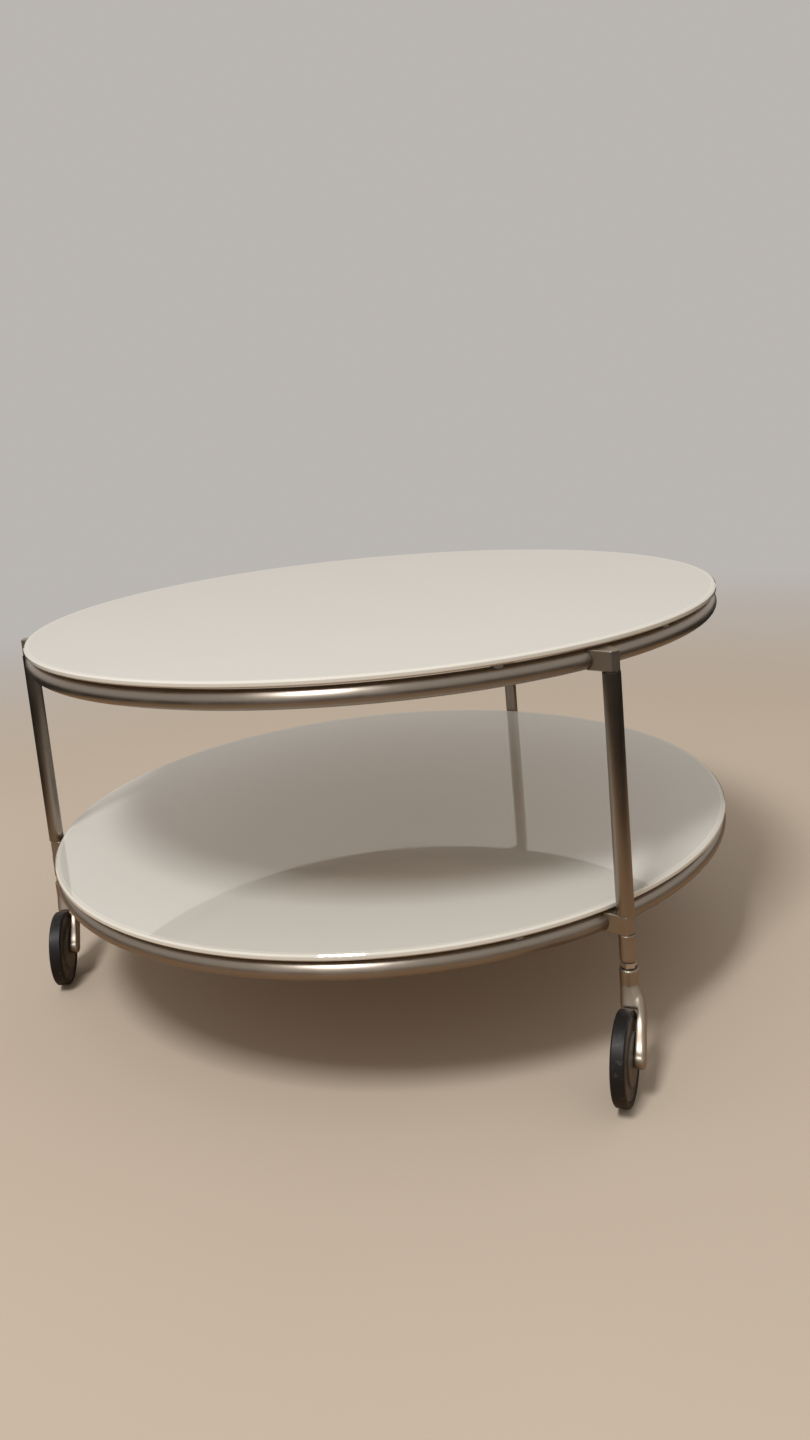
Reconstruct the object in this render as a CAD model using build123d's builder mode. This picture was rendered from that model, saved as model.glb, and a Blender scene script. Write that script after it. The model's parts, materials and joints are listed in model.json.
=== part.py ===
"""Rolling coffee table: two round glass discs on tube rings, three legs and three single-arm casters.

Millimetres. +Z is up, and the origin is on the floor, on the axis that the two discs share.
-X points at one of the three legs, so the other two stand at 60 degrees either side of +X.
Heights are stacked up from the floor: wheel, caster barrel, hexagon, foot, shelf ring and shelf.

Leg pieces are drawn once, on a leg's axis with X pointing away from the table's axis. Caster pieces
are drawn once, on the same axis with X pointing at the wheel and Y at the arm. Both stand on the
floor, and a plane at each leg places them.
"""
from build123d import *
import os
from collections import namedtuple
from math import cos, radians, sin, sqrt

# Overall sizes
table_height = 400.0
disc_radius = 375.0

# Glass discs
disc_thickness = 6.0
disc_arris = 1.5

# Clear pads between glass and ring
pad_radius = 5.5
pad_thickness = 2.5
pad_drape = 1.2
pad_offset_angle = 15.0

# Tube rings
ring_tube_radius = 9.0
ring_wall = 1.5
ring_flattening = 0.02
ring_setback = 9.0

# Legs
leg_angles = {"right": -60.0, "back": 60.0, "left": 180.0}
leg_tube_radius = 8.0
leg_wall = 1.5
leg_end_chamfer = 0.8
leg_reach = 20.0

# Cast brackets that join ring and leg
bracket_nose_length = 6.0
bracket_nose_width = 10.0
bracket_root_width = 25.5
bracket_root_gap = 2.5
bracket_corner_round = 1.0
bracket_edge_chamfer = 0.5

# Turned foot under each shelf bracket
foot_radius = 7.5
foot_length = 26.3
foot_end_chamfer = 2.3

# Threaded pieces inside the legs
thread_radius = 4.0
thread_tip_chamfer = 0.8
plug_length = 14.0
top_thread_length = 12.0
top_thread_tip_room = 1.0
insert_length = 18.0
stem_engagement = 15.0

# Caster stem
hex_across_flats = 12.5
hex_height = 4.4
journal_radius = 4.0
groove_radius = 3.4
groove_height = 1.1
journal_tail = 1.6

# Caster bush and clip
bush_radius = 5.5
bush_flange_radius = 7.2
bush_flange_height = 1.0
clip_radius = 6.0
clip_thickness = 1.0
clip_opening = 5.0
recess_radius = 6.6
recess_depth = 5.5

# Caster barrel
barrel_radius = 8.6
barrel_height = 35.0
barrel_edge_chamfer = 0.7

# Caster arm: the eye round the axle, and the boss that faces the hub
arm_inner_face = 8.5
arm_thickness = 9.2
arm_edge_round = 3.6
arm_wheel_stock = 1.5
shank_length = 15.0
eye_radius = 7.5
eye_swell = 0.3
boss_height = 0.5
boss_radius = 6.8

# Wheel
wheel_radius = 40.0
wheel_width = 12.5
wheel_trail = 38.0
caster_headings = {"right": 246.0, "back": 259.0, "left": 272.0}
tyre_depth = 5.5
tyre_edge_chamfer = 1.2
tyre_lip_chamfer = 0.7
tyre_key_depth = 1.2
tyre_key_width = 5.0
core_step = 0.8
core_edge_chamfer = 0.7
raised_disc_radius = 22.5
raised_disc_height = 1.3
raised_disc_chamfer = 0.7
hub_boss_radius = 6.8

# Axle
axle_radius = 3.0
axle_grip = 7.2
axle_head_radius = 5.6
axle_head_height = 1.8
axle_head_chamfer = 0.5

# Clearances
press_gap = 0.02
weld_gap = 0.05
thread_gap = 0.05
running_gap = 0.05
rolling_gap = 0.3
wheel_gap = 1.65

# Heights from the floor up to the shelf, and down from the table's top
barrel_bottom = wheel_radius + sqrt((wheel_radius + wheel_gap) ** 2 - (wheel_trail - barrel_radius) ** 2)
barrel_top = barrel_bottom + barrel_height
recess_top = barrel_bottom + recess_depth
hex_bottom = barrel_top + bush_flange_height + rolling_gap
foot_bottom = hex_bottom + hex_height
bracket_height = 2 * ring_tube_radius
shelf_ring_top = foot_bottom + foot_length + bracket_height
ring_tops = {"shelf": shelf_ring_top, "top": table_height - disc_thickness - pad_thickness}
disc_undersides = {level: top + pad_thickness for level, top in ring_tops.items()}
bracket_bottoms = {level: top - bracket_height for level, top in ring_tops.items()}
leg_length = bracket_bottoms["top"] - ring_tops["shelf"]

# Radii, and distances from the wheel's middle plane towards the arm
ring_radius = disc_radius - ring_setback
leg_circle_radius = ring_radius + leg_reach
leg_bore_radius = leg_tube_radius - leg_wall
core_radius = wheel_radius - tyre_depth
boss_face = arm_inner_face - boss_height
hub_face = boss_face - rolling_gap
arm_width = arm_thickness + arm_wheel_stock
arm_side = arm_inner_face + arm_thickness - arm_width / 2
web_face = wheel_width / 2 - core_step
raised_face = wheel_width / 2 + raised_disc_height
axle_head_seat = raised_face - axle_head_height

# The caster arm's sections, each with its width across the arm and its depth along the wheel. The shoulder
# swells out of the barrel and ends inside the shank, which starts inside the shoulder and ends in the eye.
Section = namedtuple("Section", "trail side height lean width depth corner")
barrel_width = 2 * barrel_radius
shoulder_sections = [
    Section(
        trail=0,
        side=0,
        height=barrel_top - 9,
        lean=0,
        width=barrel_width - 2.4,
        depth=barrel_width - 2.4,
        corner=barrel_radius - 1.3,
    ),
    Section(
        trail=0.8,
        side=1,
        height=barrel_bottom + 15,
        lean=8,
        width=barrel_width + 1.2,
        depth=barrel_width + 0.8,
        corner=barrel_radius - 1,
    ),
    Section(
        trail=4.4,
        side=3,
        height=barrel_bottom + 4,
        lean=22,
        width=barrel_width + 4.6,
        depth=barrel_width + 1,
        corner=barrel_radius - 1.2,
    ),
    Section(
        trail=10.4,
        side=4,
        height=barrel_bottom - 5,
        lean=34,
        width=barrel_width + 3.8,
        depth=barrel_width - 2.6,
        corner=barrel_radius - 2.6,
    ),
]
eye_section = Section(
    trail=wheel_trail,
    side=arm_side,
    height=wheel_radius,
    lean=46,
    width=arm_width - 2 * eye_swell,
    depth=2 * (eye_radius - eye_swell),
    corner=arm_edge_round - eye_swell,
)
shank_sections = [
    Section(
        trail=3,
        side=arm_side - 5.6,
        height=barrel_bottom + 12,
        lean=16,
        width=8,
        depth=12,
        corner=3.9,
    ),
    Section(
        trail=6.6,
        side=arm_side - 4,
        height=barrel_bottom + 1.5,
        lean=28,
        width=arm_width + 1.4,
        depth=barrel_width + 0.4,
        corner=5.4,
    ),
    Section(
        trail=14.4,
        side=arm_side - 2.6,
        height=barrel_bottom - 9.6,
        lean=42,
        width=arm_width + 0.4,
        depth=barrel_width - 0.2,
        corner=4,
    ),
    Section(
        trail=wheel_trail - shank_length * sin(radians(eye_section.lean)),
        side=arm_side - 0.8,
        height=wheel_radius + shank_length * cos(radians(eye_section.lean)),
        lean=eye_section.lean,
        width=arm_width - 0.4,
        depth=eye_section.depth + 1.1,
        corner=eye_section.corner,
    ),
    eye_section,
]

# The axle's line in a caster's own frame, the plane it lies in with X up and Y at the arm, and that across it
wheel_axis = Axis((wheel_trail, 0, wheel_radius), (0, 1, 0))
wheel_section = Plane(origin=(wheel_trail, 0, wheel_radius), x_dir=(0, 0, 1), z_dir=(-1, 0, 0))
across_wheel = Plane(origin=(wheel_trail, 0, wheel_radius), x_dir=(0, 0, 1), z_dir=(0, 1, 0))


def leg_plane(name):
    """The floor under a leg: X points away from the table's axis."""
    angle = radians(leg_angles[name])
    out = Vector(cos(angle), sin(angle), 0)
    return Plane(origin=out * leg_circle_radius, x_dir=out, z_dir=(0, 0, 1))


def caster_plane(name):
    """The floor under a leg: X points where its wheel trails."""
    angle = radians(caster_headings[name])
    return Plane(origin=leg_plane(name).origin, x_dir=(cos(angle), sin(angle), 0), z_dir=(0, 0, 1))


def place(form, plane):
    """The form as a piece of its own, standing on the plane."""
    with BuildPart(plane) as piece:
        add(form.part)
    return piece


def save(piece, name):
    """Labels the piece and writes it to its own file."""
    piece.part.label = name
    export_step(piece.part, f"parts/{name}.step")


def make_glass(level):
    """A glass disc with ground arrises."""
    with BuildPart() as glass:
        with BuildSketch(Plane.XY.offset(disc_undersides[level])):
            Circle(disc_radius)
        extrude(amount=disc_thickness)
        chamfer(glass.edges().filter_by(GeomType.CIRCLE), disc_arris)
    return glass


def make_ring(level):
    """A tube bent into a full circle, which leaves it a touch flattened across, and welded shut."""
    half_height = ring_tube_radius
    half_width = ring_tube_radius - ring_flattening
    with BuildPart() as ring:
        with BuildSketch(Plane.XZ):
            with Locations((ring_radius, ring_tops[level] - ring_tube_radius)):
                Ellipse(half_width, half_height)
                Ellipse(half_width - ring_wall, half_height - ring_wall, mode=Mode.SUBTRACT)
        revolve(axis=Axis.Z)
    return ring


def make_pads(level):
    """Clear pads in pairs either side of each leg, draped over the ring's crown."""
    pad_angles = [angle + side * pad_offset_angle for angle in leg_angles.values() for side in (-1, 1)]
    with BuildPart() as pads:
        with BuildSketch(Plane.XY.offset(ring_tops[level] - pad_drape)):
            for angle in pad_angles:
                with PolarLocations(ring_radius, 1, start_angle=angle):
                    Circle(pad_radius)
        extrude(amount=pad_thickness + pad_drape)
        with BuildSketch(Plane.XZ):
            with Locations((ring_radius, ring_tops[level] - ring_tube_radius)):
                Circle(ring_tube_radius + press_gap)
        revolve(axis=Axis.Z, mode=Mode.SUBTRACT)
    return pads


def make_bracket(level):
    """A cast wedge, saddled on the ring's outer side, that tapers out over the leg's end."""
    bottom = bracket_bottoms[level]
    root = bracket_root_gap - leg_reach
    table_axis = Axis((-leg_circle_radius, 0, 0), (0, 0, 1))
    bore_depth = top_thread_length + top_thread_tip_room if level == "top" else bracket_height
    with BuildPart() as bracket:
        with BuildSketch(Plane.XY.offset(bottom)):
            with BuildLine():
                Polyline(
                    (root, -bracket_root_width / 2),
                    (bracket_nose_length, -bracket_nose_width / 2),
                    (bracket_nose_length, bracket_nose_width / 2),
                    (root, bracket_root_width / 2),
                    close=True,
                )
            make_face()
        extrude(amount=bracket_height)
        fillet(bracket.edges().filter_by(Axis.Z).group_by(Axis.X)[-1], bracket_corner_round)
        chamfer(bracket.faces().filter_by(Axis.Z).edges(), bracket_edge_chamfer)
        with BuildSketch(Plane.XZ):
            with Locations((-leg_reach, bottom + ring_tube_radius)):
                Circle(ring_tube_radius + weld_gap)
        revolve(axis=table_axis, mode=Mode.SUBTRACT)
        with BuildSketch(Plane.XY.offset(bottom)):
            Circle(thread_radius + thread_gap)
        extrude(amount=bore_depth, mode=Mode.SUBTRACT)
    return bracket


def make_leg_tube():
    """The straight tube between the two brackets, with its outer rims chamfered."""
    with BuildPart() as tube:
        with BuildSketch(Plane.XY.offset(ring_tops["shelf"])):
            Circle(leg_tube_radius)
        extrude(amount=leg_length)
        chamfer(tube.edges().filter_by(GeomType.CIRCLE), leg_end_chamfer)
        with BuildSketch(Plane.XY.offset(ring_tops["shelf"])):
            Circle(leg_bore_radius)
        extrude(amount=leg_length, mode=Mode.SUBTRACT)
    return tube


def make_leg_stud():
    """The plug pressed into a leg's upper end, with the stud that screws into the top bracket."""
    with BuildPart() as stud:
        with BuildSketch(Plane.XY.offset(bracket_bottoms["top"])):
            Circle(leg_bore_radius - press_gap)
        extrude(amount=-plug_length)
        with BuildSketch(Plane.XY.offset(bracket_bottoms["top"])):
            Circle(thread_radius)
        extrude(amount=top_thread_length)
        chamfer(stud.edges().filter_by(GeomType.CIRCLE).sort_by(Axis.Z)[-1], thread_tip_chamfer)
    return stud


def make_leg_insert():
    """The threaded plug pressed into a leg's lower end, which the caster stem screws into."""
    with BuildPart() as insert:
        with BuildSketch(Plane.XY.offset(ring_tops["shelf"])):
            Circle(leg_bore_radius - press_gap)
            Circle(thread_radius + thread_gap, mode=Mode.SUBTRACT)
        extrude(amount=insert_length)
    return insert


def make_foot():
    """A turned foot with a bevelled lower rim, bored for the stem's shank."""
    with BuildPart() as foot:
        with BuildSketch(Plane.XY.offset(foot_bottom)):
            Circle(foot_radius)
        extrude(amount=foot_length)
        chamfer(foot.edges().filter_by(GeomType.CIRCLE).sort_by(Axis.Z)[0], foot_end_chamfer)
        with BuildSketch(Plane.XY.offset(foot_bottom)):
            Circle(thread_radius + thread_gap)
        extrude(amount=foot_length, mode=Mode.SUBTRACT)
    return foot


def make_stem():
    """The stem that stays with the leg: threaded shank, hexagon, and the journal the caster turns on."""
    groove_top = recess_top - rolling_gap
    groove_bottom = groove_top - groove_height
    with BuildPart() as stem:
        with BuildSketch(Plane.XY.offset(foot_bottom)):
            Circle(thread_radius)
        extrude(amount=foot_length + bracket_height + stem_engagement)
        chamfer(stem.edges().filter_by(GeomType.CIRCLE).sort_by(Axis.Z)[-1], thread_tip_chamfer)
        with BuildSketch(Plane.XY.offset(hex_bottom)):
            RegularPolygon(hex_across_flats / 2, 6, major_radius=False)
        extrude(amount=hex_height)
        with BuildSketch(Plane.XY.offset(groove_top)):
            Circle(journal_radius)
        extrude(amount=hex_bottom - groove_top)
        with BuildSketch(Plane.XY.offset(groove_bottom)):
            Circle(groove_radius)
        extrude(amount=groove_height)
        with BuildSketch(Plane.XY.offset(groove_bottom)):
            Circle(journal_radius)
        extrude(amount=-journal_tail)
    return stem


def make_clip():
    """The open spring clip in the stem's groove, which keeps the caster on."""
    clip_bottom = recess_top - rolling_gap - (groove_height + clip_thickness) / 2
    with BuildPart() as clip:
        with BuildSketch(Plane.XY.offset(clip_bottom)):
            Circle(clip_radius)
            Circle(groove_radius + press_gap, mode=Mode.SUBTRACT)
            with Locations((clip_radius, 0)):
                Rectangle(2 * clip_radius, clip_opening, mode=Mode.SUBTRACT)
        extrude(amount=clip_thickness)
    return clip


def make_bush():
    """The flanged bush pressed into the barrel, which runs on the stem's journal."""
    with BuildPart() as bush:
        with BuildSketch(Plane.XY.offset(recess_top)):
            Circle(bush_radius - press_gap)
        extrude(amount=barrel_top - recess_top)
        with BuildSketch(Plane.XY.offset(barrel_top)):
            Circle(bush_flange_radius)
        extrude(amount=bush_flange_height)
        with BuildSketch(Plane.XY.offset(recess_top)):
            Circle(journal_radius + running_gap)
        extrude(amount=hex_bottom - recess_top, mode=Mode.SUBTRACT)
    return bush


def heading_down(section):
    """The plane of an arm's section, which faces down the arm with X away from the wheel."""
    lean = radians(section.lean)
    centre = (section.trail, section.side, section.height)
    return Plane(origin=centre, x_dir=(0, 1, 0), z_dir=(sin(lean), 0, -cos(lean)))


def make_arm():
    """The casting: a barrel for the bush, a shoulder that swells out of it, and a shank beside the wheel."""
    with BuildPart() as arm:
        # Barrel, with a bevelled upper rim
        with BuildSketch(Plane.XY.offset(barrel_bottom)):
            Circle(barrel_radius)
        extrude(amount=barrel_height)
        chamfer(arm.edges().filter_by(GeomType.CIRCLE).sort_by(Axis.Z)[-1], barrel_edge_chamfer)

        # Shoulder over the wheel, then the shank from inside it down to the axle
        for sections in (shoulder_sections, shank_sections):
            for section in sections:
                with BuildSketch(heading_down(section)):
                    RectangleRounded(section.width, section.depth, section.corner)
            loft()

        # Eye round the axle, from the arm's own rounded profile
        with BuildSketch(wheel_section):
            with Locations((0, arm_side)):
                RectangleRounded(2 * eye_radius, arm_width, arm_edge_round)
            with Locations((-eye_radius, arm_side)):
                Rectangle(2 * eye_radius, 2 * arm_width, mode=Mode.SUBTRACT)
        revolve(axis=wheel_axis)

        # Room for the wheel, with the arm's flat inner face and the barrel's flat underside
        with BuildSketch(across_wheel.offset(arm_inner_face)):
            Circle(wheel_radius + wheel_gap)
            with Locations((barrel_bottom - 2 * wheel_radius, -wheel_trail)):
                Rectangle(2 * wheel_radius, 4 * wheel_radius)
        extrude(amount=-wheel_radius, mode=Mode.SUBTRACT)

        # Boss that faces the hub, and the blind bore for the axle
        with BuildSketch(across_wheel.offset(boss_face)):
            Circle(boss_radius)
        extrude(amount=boss_height)
        with BuildSketch(across_wheel.offset(boss_face)):
            Circle(axle_radius + press_gap)
        extrude(amount=boss_height + axle_grip + press_gap, mode=Mode.SUBTRACT)

        # Bore for the bush, and the recess for the clip
        with BuildSketch(Plane.XY.offset(barrel_bottom)):
            Circle(bush_radius)
        extrude(amount=barrel_height, mode=Mode.SUBTRACT)
        with BuildSketch(Plane.XY.offset(barrel_bottom)):
            Circle(recess_radius)
        extrude(amount=recess_depth, mode=Mode.SUBTRACT)
    return arm


def make_axle():
    """The headed pin that is pressed into the arm and carries the wheel."""
    with BuildPart() as axle:
        with BuildSketch(across_wheel.offset(-axle_head_seat)):
            Circle(axle_head_radius)
        extrude(amount=-axle_head_height)
        chamfer(axle.edges().filter_by(GeomType.CIRCLE).sort_by(Axis.Y)[0], axle_head_chamfer)
        with BuildSketch(across_wheel.offset(-axle_head_seat)):
            Circle(axle_radius)
        extrude(amount=axle_head_seat + arm_inner_face + axle_grip)
    return axle


def make_wheel_core():
    """The moulded wheel: a web with a raised middle, a hub boss at the arm and a keyed seat for the tyre."""
    key_radius = core_radius + tyre_key_depth
    edge_radius = core_radius - core_edge_chamfer
    head_recess_floor = rolling_gap - axle_head_seat
    head_recess_radius = axle_head_radius + rolling_gap
    with BuildPart() as core:
        with BuildSketch(wheel_section) as profile:
            with BuildLine():
                Polyline(
                    (axle_radius + running_gap, hub_face),
                    (hub_boss_radius, hub_face),
                    (hub_boss_radius, raised_face),
                    (raised_disc_radius, raised_face),
                    (raised_disc_radius, web_face),
                    (edge_radius, web_face),
                    (core_radius, web_face - core_edge_chamfer),
                    (core_radius, tyre_key_width / 2),
                    (key_radius, tyre_key_width / 2),
                    (key_radius, -tyre_key_width / 2),
                    (core_radius, -tyre_key_width / 2),
                    (core_radius, core_edge_chamfer - web_face),
                    (edge_radius, -web_face),
                    (raised_disc_radius, -web_face),
                    (raised_disc_radius, -raised_face),
                    (head_recess_radius, -raised_face),
                    (head_recess_radius, head_recess_floor),
                    (axle_radius + running_gap, head_recess_floor),
                    close=True,
                )
            make_face()
            steps = profile.vertices().filter_by_position(Axis.X, raised_disc_radius, raised_disc_radius)
            chamfer([steps.sort_by(Axis.Y)[0], steps.sort_by(Axis.Y)[-1]], raised_disc_chamfer)
        revolve(axis=wheel_axis)
    return core


def make_tyre():
    """The rubber tyre, keyed on the core, with bevelled tread edges."""
    key_radius = core_radius + tyre_key_depth
    half_width = wheel_width / 2
    with BuildPart() as tyre:
        with BuildSketch(wheel_section) as profile:
            with BuildLine():
                Polyline(
                    (core_radius, half_width),
                    (wheel_radius, half_width),
                    (wheel_radius, -half_width),
                    (core_radius, -half_width),
                    (core_radius, -tyre_key_width / 2),
                    (key_radius, -tyre_key_width / 2),
                    (key_radius, tyre_key_width / 2),
                    (core_radius, tyre_key_width / 2),
                    close=True,
                )
            make_face()
            lips = profile.vertices().group_by(Axis.X)[0].sort_by(Axis.Y)
            chamfer([lips[0], lips[-1]], tyre_lip_chamfer)
            chamfer(profile.vertices().group_by(Axis.X)[-1], tyre_edge_chamfer)
        revolve(axis=wheel_axis)
    return tyre


os.makedirs("parts", exist_ok=True)

for level in ("top", "shelf"):
    save(make_ring(level), f"{level}_ring")
    save(make_pads(level), f"{level}_pads")
save(make_glass("top"), "table_top_glass")
save(make_glass("shelf"), "shelf_glass")

leg_forms = {
    "top_bracket": make_bracket("top"),
    "shelf_bracket": make_bracket("shelf"),
    "leg_tube": make_leg_tube(),
    "leg_stud": make_leg_stud(),
    "leg_insert": make_leg_insert(),
    "foot": make_foot(),
    "caster_stem": make_stem(),
    "caster_clip": make_clip(),
}
caster_forms = {
    "caster_bush": make_bush(),
    "caster_arm": make_arm(),
    "axle": make_axle(),
    "wheel_core": make_wheel_core(),
    "tyre": make_tyre(),
}
for leg in leg_angles:
    for form_name, form in leg_forms.items():
        save(place(form, leg_plane(leg)), f"{leg}_{form_name}")
    for form_name, form in caster_forms.items():
        save(place(form, caster_plane(leg)), f"{leg}_{form_name}")
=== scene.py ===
"""Looks of the rolling coffee table: its materials, a plain studio and the photograph's camera.

Metres, in the CAD's own frame: +Z is up, and the origin is on the floor under the middle of both discs.
Every visible solid is a CAD node, and this script gives each one its finish.
"""

import json
from math import cos, radians, sin

import bpy
from mathutils import Matrix, Vector


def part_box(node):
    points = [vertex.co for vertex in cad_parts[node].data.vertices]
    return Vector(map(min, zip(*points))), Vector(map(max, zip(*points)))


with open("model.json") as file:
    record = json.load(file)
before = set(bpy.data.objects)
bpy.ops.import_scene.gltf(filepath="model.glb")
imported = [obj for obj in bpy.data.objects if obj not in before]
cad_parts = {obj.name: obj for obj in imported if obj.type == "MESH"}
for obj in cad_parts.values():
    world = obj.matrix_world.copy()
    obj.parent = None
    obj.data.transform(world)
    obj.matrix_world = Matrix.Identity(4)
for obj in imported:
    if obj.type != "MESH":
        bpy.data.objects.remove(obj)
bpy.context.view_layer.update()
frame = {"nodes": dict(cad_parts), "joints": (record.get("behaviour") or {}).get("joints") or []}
nodes = frame["nodes"]
joints = {joint["name"]: joint for joint in frame["joints"]}
legs = ("right", "back", "left")

# The camera, fitted to the photograph of 810 x 1440 pixels
image_height = 1440
focal_pixels = 1110.5
axis_rise_pixels = 120
sensor_height = 36
camera_place = (-0.00965, -1.2373, 0.59996)
camera_yaw = radians(2.20)
camera_pitch = radians(9.425)
camera_roll = radians(5.09)

# Sizes read from the frame
_, disc_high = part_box("table_top_glass")
disc_radius = disc_high.x
ring_low, ring_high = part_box("top_ring")
tube_radius = (ring_high.z - ring_low.z) / 2
ring_radius = ring_high.x - tube_radius
tyre_low, tyre_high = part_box("right_tyre")
wheel_radius = (tyre_high.z - tyre_low.z) / 2
_, leg_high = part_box("right_leg_tube")
leg_top = leg_high.z


# Node helpers

class Tree:
    """The node tree of a material or a world, with one short call for each kind of node."""

    def __init__(self, owner):
        self.owner = owner
        owner.use_nodes = True
        self.nodes = owner.node_tree.nodes
        self.links = owner.node_tree.links
        self.shader = self.nodes.get("Principled BSDF") or self.nodes["Background"]

    def add(self, kind, settings=None, **inputs):
        """A node with its settings, and its inputs by socket name: a value, or another node's output."""
        node = self.nodes.new(kind)
        for key, value in (settings or {}).items():
            setattr(node, key, value)
        for key, value in inputs.items():
            self.put(node, key.replace("_", " "), value)
        return node

    def put(self, node, socket, value):
        """Sets a socket, or links an output to it."""
        if isinstance(value, bpy.types.NodeSocket):
            self.links.new(value, node.inputs[socket])
        else:
            node.inputs[socket].default_value = value

    def place(self):
        """The point on the node's own mesh, in metres."""
        return self.add("ShaderNodeTexCoord").outputs["Object"]

    def math(self, operation, a, b=0.0):
        """One operation on one or two numbers."""
        node = self.add("ShaderNodeMath", {"operation": operation})
        self.put(node, 0, a)
        self.put(node, 1, b)
        return node.outputs[0]

    def vector(self, operation, a, b=(0, 0, 0)):
        """One operation on one or two vectors."""
        node = self.add("ShaderNodeVectorMath", {"operation": operation})
        self.put(node, 0, a)
        self.put(node, 1, b)
        return node.outputs["Value" if operation == "LENGTH" else "Vector"]

    def parts(self, vector):
        """The three numbers of a vector, by the names X, Y and Z."""
        return self.add("ShaderNodeSeparateXYZ", Vector=vector).outputs

    def joined(self, x, y, z):
        """A vector from three numbers."""
        return self.add("ShaderNodeCombineXYZ", X=x, Y=y, Z=z).outputs["Vector"]

    def scaled(self, place, scale):
        """The point with each axis scaled, which stretches whatever reads it."""
        return self.vector("MULTIPLY", place, scale)

    def from_middle(self, place):
        """Distance from the upright axis through the middle of the table."""
        return self.vector("LENGTH", self.scaled(place, (1, 1, 0)))

    def noise(self, place, scale, detail=2.0, roughness=0.5):
        """Smooth noise from 0 to 1."""
        node = self.add("ShaderNodeTexNoise", Vector=place, Scale=scale, Detail=detail, Roughness=roughness)
        return node.outputs["Fac"]

    def spread(self, value, source, target=(0.0, 1.0)):
        """The value moved from the source range to the target range, and held at its ends."""
        node = self.add("ShaderNodeMapRange", Value=value)
        for socket, number in zip(("From Min", "From Max", "To Min", "To Max"), (*source, *target)):
            self.put(node, socket, number)
        return node.outputs["Result"]

    def mix(self, factor, a, b):
        """A blend of two colours.

        The node's sockets have the same names for each kind of value, so the colour ones go by number.
        """
        colour_a, colour_b, colour_result = 6, 7, 2
        node = self.add("ShaderNodeMix", {"data_type": "RGBA"})
        self.put(node, "Factor", factor)
        self.put(node, colour_a, a)
        self.put(node, colour_b, b)
        return node.outputs[colour_result]

    def bump(self, height, distance, strength, edge_radius):
        """Relief on the shader's normal, over softened edges."""
        edges = self.add("ShaderNodeBevel", {"samples": 6}, Radius=edge_radius)
        relief = self.add("ShaderNodeBump", Height=height, Distance=distance, Strength=strength)
        self.put(relief, "Normal", edges.outputs["Normal"])
        self.put(self.shader, "Normal", relief.outputs["Normal"])

    def finish(self, **inputs):
        """Sets the shader's own sockets by name."""
        for key, value in inputs.items():
            self.put(self.shader, key.replace("_", " "), value)
        return self.owner


def material_tree(name):
    """The node tree of a new material."""
    return Tree(bpy.data.materials.new(name))


def colour(red, green, blue):
    """A colour with full alpha."""
    return (red, green, blue, 1.0)


# Materials

def white_glass():
    """Float glass enamelled white behind: glossy, paler where light leaks out at the rim, with painted warm
    light beneath: a cream on the faces that look down, which the shelf throws back.
    """
    rim_start = disc_radius - 0.0052
    rim_full = disc_radius - 0.0046
    rim_line_end = disc_radius - 0.0036
    # Painted warm light: cream for the faces that look down, so that the shelf shows warm bounced light in
    # its shade.
    painted_warm_underside = colour(0.60, 0.50, 0.355)
    t = material_tree("white_glass")
    place = t.place()
    radius = t.from_middle(place)
    cloud = t.noise(place, 3.0, detail=3.0)
    enamel = t.mix(cloud, colour(0.650, 0.654, 0.630), colour(0.680, 0.684, 0.660))
    rim = t.spread(radius, (rim_start, rim_full))
    rimmed = t.mix(rim, enamel, colour(0.73, 0.73, 0.685))
    facing_up = t.parts(t.add("ShaderNodeTexCoord").outputs["Normal"])["Z"]
    # Faces that look down take the painted warm cream.
    with_painted_underside = t.mix(t.spread(facing_up, (-0.9, -0.5)), painted_warm_underside, rimmed)
    line = t.math("MULTIPLY", rim, t.spread(radius, (rim_full, rim_line_end), (1.0, 0.0)))
    smudge = t.noise(place, 9.0, detail=6.0, roughness=0.62)
    t.bump(t.noise(place, 6.0), distance=0.0004, strength=0.25, edge_radius=0.0012)
    return t.finish(
        Base_Color=t.mix(line, with_painted_underside, colour(0.80, 0.80, 0.76)),
        Roughness=t.spread(smudge, (0.45, 0.75), (0.03, 0.09)),
        IOR=1.52,
        Coat_Weight=0.6,
        Coat_Roughness=0.02,
    )


def along_ring(t, place):
    """Distance round the ring, distance from the middle, height: brushing that follows the bent tube."""
    parts = t.parts(place)
    angle = t.math("ARCTAN2", parts["Y"], parts["X"])
    return t.joined(t.math("MULTIPLY", angle, ring_radius), t.from_middle(place), parts["Z"])


def along_leg(t, place):
    """Height first, so that the brushing runs up and down the leg."""
    parts = t.parts(place)
    return t.joined(parts["Z"], parts["X"], parts["Y"])


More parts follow.
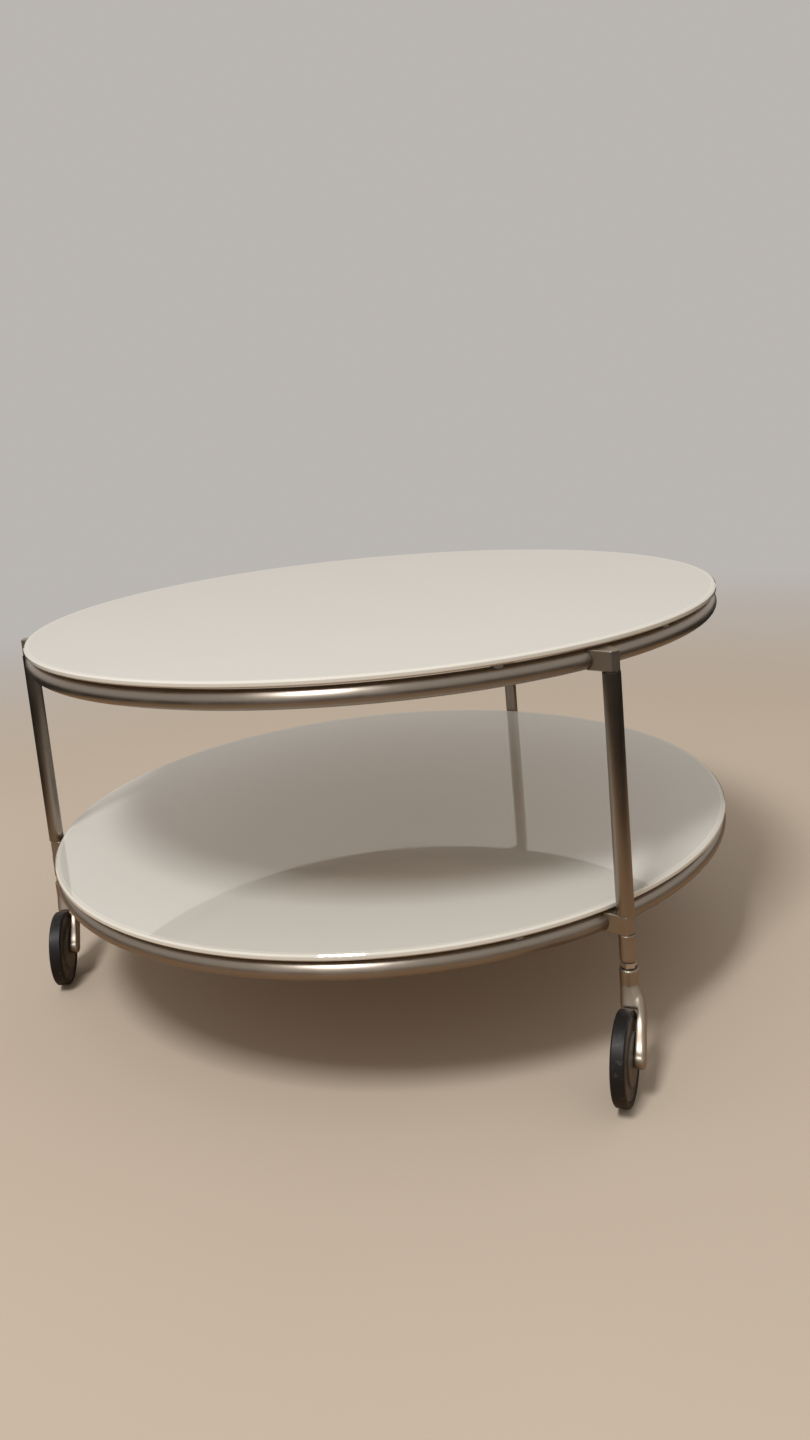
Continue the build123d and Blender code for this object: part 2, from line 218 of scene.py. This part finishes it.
def brushed_nickel(name, grain_place, highlight_turn, painted_shade_height=None):
    """Satin nickel plate: fine brushing along grain_place's first axis, smudges, and painted shade above a
    height.

    Highlights are stretched across the brushing: with no turn they run round the piece's upright axis.
    Without a height for the painted shade there is none.
    """
    brushing_scale = (12, 900, 900)
    painted_shade_soft_edge = 0.0003
    t = material_tree(name)
    place = t.place()
    grain = t.noise(t.scaled(grain_place(t, place), brushing_scale), 1.0, detail=3.0, roughness=0.6)
    smudge = t.noise(place, 28.0, detail=5.0, roughness=0.6)
    base = t.mix(smudge, colour(0.333, 0.297, 0.260), colour(0.378, 0.338, 0.296))
    if painted_shade_height is not None:
        # Painted shade: near black above the given height, for the groove under the top bracket.
        painted_shade = t.spread(t.parts(place)["Z"], (painted_shade_height, painted_shade_height + painted_shade_soft_edge))
        base = t.mix(painted_shade, base, colour(0.03, 0.027, 0.024))
    brushed = t.spread(grain, (0.3, 0.7), (0.29, 0.36))
    smudged = t.spread(smudge, (0.45, 0.8), (0.0, 0.08))
    round_axis = t.add("ShaderNodeTangent", {"direction_type": "RADIAL", "axis": "Z"})
    t.bump(grain, distance=0.00002, strength=0.35, edge_radius=0.0006)
    return t.finish(
        Base_Color=base,
        Metallic=1.0,
        Roughness=t.math("ADD", brushed, smudged),
        Anisotropic=0.7,
        Anisotropic_Rotation=highlight_turn,
        Tangent=round_axis.outputs["Tangent"],
    )


def cast_nickel(name, edge_radius):
    """Satin plated casting: softer than the tubes, finely blasted, faintly rippled by the mould."""
    t = material_tree(name)
    place = t.place()
    ripple = t.noise(place, 160.0, detail=3.0)
    blasting = t.noise(place, 2600.0)
    smudge = t.noise(place, 60.0, detail=5.0, roughness=0.6)
    relief = t.math("ADD", ripple, t.math("MULTIPLY", blasting, 0.25))
    t.bump(relief, distance=0.00005, strength=0.4, edge_radius=edge_radius)
    return t.finish(
        Base_Color=t.mix(smudge, colour(0.355, 0.313, 0.263), colour(0.435, 0.386, 0.328)),
        Metallic=1.0,
        Roughness=t.spread(smudge, (0.35, 0.75), (0.37, 0.47)),
    )


def zinc_steel():
    """Bright zinc plate on turned steel, with fine turning marks."""
    turning_scale = (200, 200, 3000)
    t = material_tree("zinc_steel")
    place = t.place()
    turning = t.noise(t.scaled(place, turning_scale), 1.0)
    patina = t.noise(place, 120.0, detail=4.0)
    t.bump(turning, distance=0.00002, strength=0.4, edge_radius=0.0004)
    return t.finish(
        Base_Color=t.mix(patina, colour(0.56, 0.53, 0.495), colour(0.70, 0.67, 0.63)),
        Metallic=1.0,
        Roughness=t.spread(patina, (0.3, 0.7), (0.24, 0.36)),
    )


def clear_pad():
    """Clear soft plastic, a little cloudy."""
    t = material_tree("clear_pad")
    cloud = t.noise(t.place(), 400.0, detail=3.0)
    t.bump(cloud, distance=0.00005, strength=0.4, edge_radius=0.0006)
    return t.finish(
        Base_Color=t.mix(cloud, colour(0.74, 0.76, 0.74), colour(0.86, 0.87, 0.86)),
        Roughness=t.spread(cloud, (0.3, 0.7), (0.16, 0.3)),
        Transmission_Weight=0.75,
        IOR=1.45,
    )


def black_acetal():
    """Moulded black bearing plastic with a faint sheen."""
    t = material_tree("black_acetal")
    grain = t.noise(t.place(), 900.0, detail=3.0)
    t.bump(grain, distance=0.00003, strength=0.5, edge_radius=0.0004)
    return t.finish(
        Base_Color=t.mix(grain, colour(0.012, 0.012, 0.013), colour(0.03, 0.03, 0.031)),
        Roughness=t.spread(grain, (0.3, 0.7), (0.3, 0.42)),
    )


def from_axle(t, leg):
    """Distance from the line of a wheel's axle, which is read from the wheel's joint."""
    joint = joints[f"{leg}_wheel_spin"]
    axle = Vector(joint["axis"]).normalized()
    away = t.vector("SUBTRACT", t.place(), tuple(joint["pos_m"]))
    return t.vector("LENGTH", t.vector("CROSS_PRODUCT", away, tuple(axle)))


def rubber(leg):
    """Black tyre rubber: scuffed and dusty in patches on the tread, darker on its sides."""
    tread_start = wheel_radius - 0.0014
    tread_full = wheel_radius - 0.0004
    t = material_tree(f"wheel_rubber_{leg}")
    place = t.place()
    grain = t.noise(place, 1400.0, detail=4.0, roughness=0.6)
    patches = t.spread(t.noise(place, 150.0, detail=6.0, roughness=0.72), (0.57, 0.74))
    tread = t.spread(from_axle(t, leg), (tread_start, tread_full))
    side = t.mix(grain, colour(0.006, 0.006, 0.007), colour(0.014, 0.013, 0.013))
    dust = t.math("MULTIPLY", patches, grain)
    worn = t.mix(dust, colour(0.007, 0.007, 0.008), colour(0.12, 0.115, 0.11))
    relief = t.math("ADD", grain, t.math("MULTIPLY", patches, 0.6))
    matt = t.spread(grain, (0.3, 0.7), (0.42, 0.54))
    t.bump(relief, distance=0.00009, strength=0.6, edge_radius=0.0008)
    return t.finish(
        Base_Color=t.mix(tread, side, worn),
        Roughness=t.math("SUBTRACT", matt, t.math("MULTIPLY", patches, 0.14)),
        Specular_IOR_Level=0.32,
    )


def wheel_plastic(leg):
    """Dark grey moulded nylon: a paler raised middle, fine grain, faint mould rings and grey scuffs."""
    raised_radius = 0.0225
    raised_soft_edge = 0.0007
    radians_per_metre = 9000.0
    t = material_tree(f"wheel_plastic_{leg}")
    place = t.place()
    radius = from_axle(t, leg)
    grain = t.noise(place, 1100.0, detail=4.0, roughness=0.6)
    scuff = t.spread(t.noise(place, 95.0, detail=5.0, roughness=0.7), (0.5, 0.72), (0.0, 0.7))
    mould_rings = t.math("SINE", t.math("MULTIPLY", radius, radians_per_metre))
    middle = t.spread(radius, (raised_radius, raised_radius + raised_soft_edge), (1.0, 0.0))
    web = t.mix(grain, colour(0.044, 0.038, 0.032), colour(0.070, 0.060, 0.051))
    raised = t.mix(grain, colour(0.072, 0.061, 0.051), colour(0.108, 0.092, 0.078))
    relief = t.math("ADD", grain, t.math("MULTIPLY", mould_rings, 0.15))
    t.bump(relief, distance=0.00005, strength=0.45, edge_radius=0.0007)
    return t.finish(
        Base_Color=t.mix(scuff, t.mix(middle, web, raised), colour(0.13, 0.12, 0.11)),
        Roughness=t.spread(grain, (0.3, 0.7), (0.36, 0.5)),
    )


# Each node's material

def wear(material, *names):
    """Puts the material in every slot of each node."""
    for name in names:
        for slot in nodes[name].material_slots:
            slot.material = material


def on_each_leg(*pieces):
    """The node names of these pieces on all three legs."""
    return [f"{leg}_{piece}" for leg in legs for piece in pieces]


quarter_turn = 0.25
# Depth of the band of painted shade at the top of each leg, under its top bracket.
painted_shade_width = 0.0012
bracket_edge = 0.0014
arm_edge = 0.0026

wear(white_glass(), "table_top_glass", "shelf_glass")
wear(brushed_nickel("nickel_ring", along_ring, quarter_turn), "top_ring", "shelf_ring")
wear(brushed_nickel("nickel_leg", along_leg, 0.0, leg_top - painted_shade_width), *on_each_leg("leg_tube"))
wear(cast_nickel("cast_bracket", bracket_edge), *on_each_leg("top_bracket", "shelf_bracket", "foot"))
wear(cast_nickel("cast_arm", arm_edge), *on_each_leg("caster_arm"))
wear(zinc_steel(), *on_each_leg("axle", "caster_stem", "caster_clip", "leg_stud", "leg_insert"))
wear(clear_pad(), "top_pads", "shelf_pads")
wear(black_acetal(), *on_each_leg("caster_bush"))
for leg in legs:
    wear(rubber(leg), f"{leg}_tyre")
    wear(wheel_plastic(leg), f"{leg}_wheel_core")


# Studio

background_colour = colour(0.49, 0.465, 0.445)
sky_colour = colour(0.58, 0.534, 0.485)
floor_reach = 15

# Start and end, by distance from the origin, of the floor's fade and of its dark in reflections
floor_fade = (1.1, 2.6)
floor_dark = (0.8, 1.05)


def floor_material():
    """Pale warm floor, barely clouded, that fades into the background away from the table.

    What it throws back on the table is the brown of the photograph's floor. Further out, what the table's
    gloss sees is the dark of the photograph's room.
    """
    t = material_tree("floor")
    place = t.place()
    distance = t.vector("LENGTH", place)
    rays = t.add("ShaderNodeLightPath").outputs
    seen = rays["Is Camera Ray"]
    pale = t.mix(t.noise(place, 1.5, detail=3.0), colour(0.51, 0.44, 0.365), colour(0.55, 0.48, 0.405))
    dark = t.math("MULTIPLY", rays["Is Glossy Ray"], t.spread(distance, floor_dark))
    thrown_back = t.mix(dark, colour(0.38, 0.26, 0.165), colour(0.01, 0.01, 0.01))
    glow = t.add("ShaderNodeEmission", Color=background_colour)
    blend = t.add("ShaderNodeMixShader")
    t.put(blend, 0, t.math("MULTIPLY", seen, t.spread(distance, floor_fade)))
    t.put(blend, 1, t.shader.outputs["BSDF"])
    t.put(blend, 2, glow.outputs["Emission"])
    t.put(t.nodes["Material Output"], "Surface", blend.outputs["Shader"])
    return t.finish(
        Base_Color=t.mix(seen, thrown_back, pale),
        Roughness=0.9,
        Specular_IOR_Level=0.0,
    )


def add_floor():
    """A wide flat floor, which belongs to the studio and not to the object."""
    reach = floor_reach
    corners = [(-reach, -reach, 0), (reach, -reach, 0), (reach, reach, 0), (-reach, reach, 0)]
    mesh = bpy.data.meshes.new("floor")
    mesh.from_pydata(corners, [], [(0, 1, 2, 3)])
    mesh.materials.append(floor_material())
    piece = bpy.data.objects.new("floor", mesh)
    bpy.context.scene.collection.objects.link(piece)


def add_lamp():
    """A soft warm lamp, above and behind the camera, that faces the table."""
    target = Vector((0, 0, 0.2))
    data = bpy.data.lights.new("main", "AREA")
    data.shape = "RECTANGLE"
    data.size = 0.81
    data.size_y = 1.08
    data.energy = 125
    data.color = (1.0, 0.965, 0.92)
    lamp = bpy.data.objects.new("main", data)
    lamp.location = (-1.13, -2.21, 3.98)
    lamp.rotation_euler = (target - lamp.location).to_track_quat("-Z", "Y").to_euler()
    bpy.context.scene.collection.objects.link(lamp)


def add_sky():
    """An even world, which has the background's colour where the camera sees it."""
    world = bpy.data.worlds.new("studio")
    bpy.context.scene.world = world
    t = Tree(world)
    seen = t.add("ShaderNodeLightPath").outputs["Is Camera Ray"]
    t.finish(Color=t.mix(seen, sky_colour, background_colour))


def add_camera():
    """The photograph's camera: from a look along +Y, turned right, tipped down and rolled clockwise.

    The lens axis meets the image above its middle, which the shift gives.
    """
    yaw, pitch, roll = camera_yaw, camera_pitch, camera_roll
    forward = Vector((sin(yaw) * cos(pitch), cos(yaw) * cos(pitch), -sin(pitch)))
    level_right = Vector((cos(yaw), -sin(yaw), 0))
    level_down = forward.cross(level_right)
    right = cos(roll) * level_right + sin(roll) * level_down
    down = cos(roll) * level_down - sin(roll) * level_right
    turn = Matrix((right, -down, -forward)).transposed().to_4x4()
    data = bpy.data.cameras.new("camera")
    data.sensor_fit = "VERTICAL"
    data.sensor_height = sensor_height
    data.lens = focal_pixels * sensor_height / image_height
    data.shift_y = -axis_rise_pixels / image_height
    camera = bpy.data.objects.new("camera", data)
    camera.matrix_world = Matrix.Translation(camera_place) @ turn
    bpy.context.scene.collection.objects.link(camera)
    bpy.context.scene.camera = camera


add_floor()
add_lamp()
add_sky()
add_camera()
bpy.context.scene.view_settings.view_transform = "Standard"
